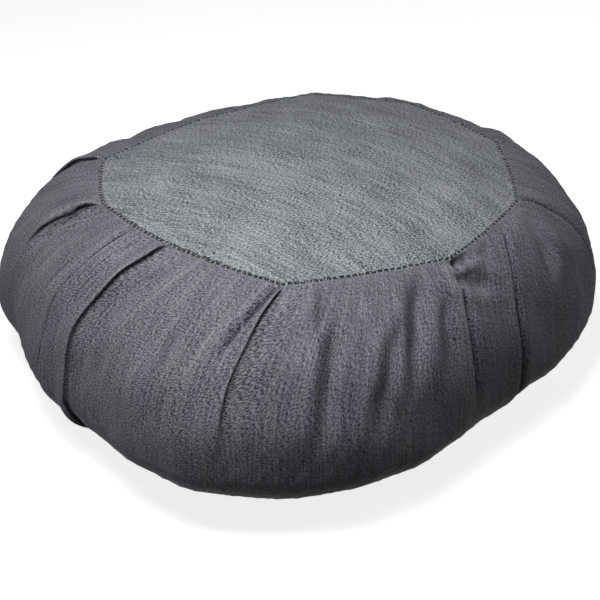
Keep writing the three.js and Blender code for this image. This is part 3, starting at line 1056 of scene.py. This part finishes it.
@dataclass(frozen=True)
class Sewing:
    """The rows of stitches that show on the cushion."""

    top_row: StitchRow = StitchRow("top_seam_stitches", 3.6, 1.7, 0.3, 0.28, 90.0, "panel_denim")
    hem_row: StitchRow = StitchRow("hem_stitches", 3.4, 2.4, 0.3, 0.26, 0.0, "band_denim")
    bottom_row: StitchRow = StitchRow("bottom_seam_stitches", 3.6, 2.0, 0.3, 0.28, 90.0, "band_denim")

    def dress(self, shell: ClothShell, finish: bpy.types.Material) -> list[bpy.types.Object]:
        """Sews the rows on the cloths.

        Args:
            shell: The cloths.
            finish: The thread.

        Returns:
            The new pieces.
        """
        band, crown, floor = shell.band_skin.points, shell.crown_skin.points, shell.floor_skin.points
        top_path = (band[4] + crown[-5]) / 2 - (0, 0, 0.35)
        out = top_path * (1, 1, 0)
        out /= np.linalg.norm(out, axis=1, keepdims=True)
        made = [self.top_row.sew(top_path, out * 0.25 + (0, 0, 0.97), True, finish)]
        low_path = (band[-5] + floor[-5]) / 2 + (0, 0, 0.3)
        way = low_path * (1, 1, 0)
        way /= np.linalg.norm(way, axis=1, keepdims=True)
        made.append(self.bottom_row.sew(low_path, way * 0.5 - (0, 0, 0.86), True, finish))
        columns = self.hem_column(shell)
        rows = slice(8, 92)
        line, before, after = band[rows, columns], band[rows, columns - 3], band[rows, columns + 3]
        down = np.gradient(line, axis=0)
        normal = np.cross(down, after - before)
        normal /= np.linalg.norm(normal, axis=1, keepdims=True)
        made.append(self.hem_row.sew(line + normal * 0.12, normal, False, finish))
        return made

    def hem_column(self, shell: ClothShell) -> int:
        """Number of the band's column that lies in the hem's stitched groove."""
        form = shell.form
        column = 0
        folds = form.folds()
        downs = form.rows() / form.band_length
        for fold, following in zip(folds, folds[1:] + folds[:1]):
            section = form.section_of(fold)
            if fold.kind is FoldKind.HEMMED:
                return column + int(np.argmin(np.abs(section[:, 0] + 28.4)))
            angle, _ = form.fold_place(fold, section, downs[:, None])
            end, _ = form.fold_place(following, form.section_of(following)[:1], downs[:, None])
            width = np.mod(end - angle[:, -1:], 360)
            free = math.radians(float(width[len(downs) // 2, 0])) * float(form.belly_radius(angle[0, -1]))
            column += len(section) + max(3, round(free / form.column_pitch)) - 1
        raise ValueError("no fold has a hem")


@dataclass(frozen=True)
class Softbox:
    """A soft rectangular lamp that faces the cushion."""

    name: str
    place: tuple[float, float, float]
    side: float
    power: float
    target: tuple[float, float, float] = (0.0, 0.0, 0.08)

    def hang(self) -> bpy.types.Object:
        """Adds the lamp to the scene.

        Returns:
            The new lamp.
        """
        lamp = bpy.data.lights.new(self.name, "AREA")
        lamp.shape, lamp.size, lamp.energy = "SQUARE", self.side, self.power
        made = bpy.data.objects.new(self.name, lamp)
        made.location, made.visible_camera = self.place, False
        made.rotation_euler = (Vector(self.target) - Vector(self.place)).to_track_quat("-Z", "Y").to_euler()
        bpy.context.scene.collection.objects.link(made)
        return made


@dataclass(frozen=True)
class Studio:
    """Floor, light and camera."""

    floor_side: float = 12.0
    camera_place: tuple[float, float, float] = (-0.00432, -0.79495, 0.52396)
    pitch: float = 31.089  # degrees below the horizon
    yaw: float = 0.42
    roll: float = -0.956
    lens: float = 88.58
    ambient: float = 0.02
    lamps: tuple[Softbox, ...] = (
        Softbox("overhead_softbox", (-0.08, -0.1, 0.5), 0.3, 0.4),
        Softbox("front_softbox", (-0.06, -0.175, 0.46), 0.3, 3.0),
        Softbox("left_fill", (-1.18, -0.43, 0.18), 0.3, 3.1),
        Softbox("right_fill", (1.2, 0.44, 0.3), 0.7, 3.6),
    )

    def floor(self, finish: bpy.types.Material) -> bpy.types.Object:
        """Lays the floor.

        Args:
            finish: Its acrylic.

        Returns:
            The new floor.
        """
        half = self.floor_side / 2
        mesh = bpy.data.meshes.new("studio_floor")
        corners = [(-half, -half, 0), (half, -half, 0), (half, half, 0), (-half, half, 0)]
        mesh.from_pydata(corners, [], [(0, 1, 2, 3)])
        made = bpy.data.objects.new("studio_floor", mesh)
        made.data.materials.append(finish)
        made.visible_diffuse = False
        bpy.context.scene.collection.objects.link(made)
        return made

    def light(self) -> None:
        """Hangs the lamps and sets the even light of the room."""
        for lamp in self.lamps:
            lamp.hang()
        world = bpy.data.worlds.new("studio_room")
        world.use_nodes = True
        world.node_tree.nodes["Background"].inputs["Color"].default_value = linear("#f4f6fa")
        world.node_tree.nodes["Background"].inputs["Strength"].default_value = self.ambient
        bpy.context.scene.world = world
        bpy.context.scene.view_settings.view_transform = "Standard"

    def camera(self) -> bpy.types.Object:
        """Sets the camera at the photograph's viewing angle.

        Returns:
            The new camera.
        """
        pitch, yaw, roll = (math.radians(turn) for turn in (self.pitch, self.yaw, self.roll))
        ahead = Vector((math.sin(yaw) * math.cos(pitch), math.cos(yaw) * math.cos(pitch), -math.sin(pitch)))
        level = ahead.cross(Vector((0, 0, 1))).normalized()
        above = level.cross(ahead)
        right = level * math.cos(roll) + above * math.sin(roll)
        up = above * math.cos(roll) - level * math.sin(roll)
        lens = bpy.data.cameras.new("photo_camera")
        lens.sensor_width, lens.lens = 36.0, self.lens
        lens.clip_start, lens.clip_end = 0.05, 50.0
        made = bpy.data.objects.new("photo_camera", lens)
        turn = Matrix((right, up, -ahead)).transposed().to_4x4()
        made.matrix_world = Matrix.Translation(self.camera_place) @ turn
        bpy.context.scene.collection.objects.link(made)
        bpy.context.scene.camera = made
        return made


def main() -> None:
    """Builds the cushion and its studio, and reports each piece."""
    logging.basicConfig(level=logging.INFO, format="%(name)s: %(message)s")
    # One denim in two copies: the panels' is painted paler and greener as lit from above, the band's darker
    # and bluer as in shade
    band_denim = Denim("shaded_band_denim_twill", "#16171e", "#727381", "#767679", 0.3).material()
    panel_denim = Denim("lit_panel_denim_twill", "#1f2224", "#878c92", "#8a8d8d", 0.7).material()
    thread = CottonThread().material()
    shell = ClothShell()
    pieces = shell.dress(band_denim, panel_denim)
    pieces += Sewing().dress(shell, thread)
    for piece in pieces:
        piece.data.calc_loop_triangles()
        LOG.info("%s: %d triangles", piece.name, len(piece.data.loop_triangles))
    studio = Studio()
    studio.floor(LitAcrylic().material())
    studio.light()
    studio.camera()


if __name__ == "__main__":
    main()
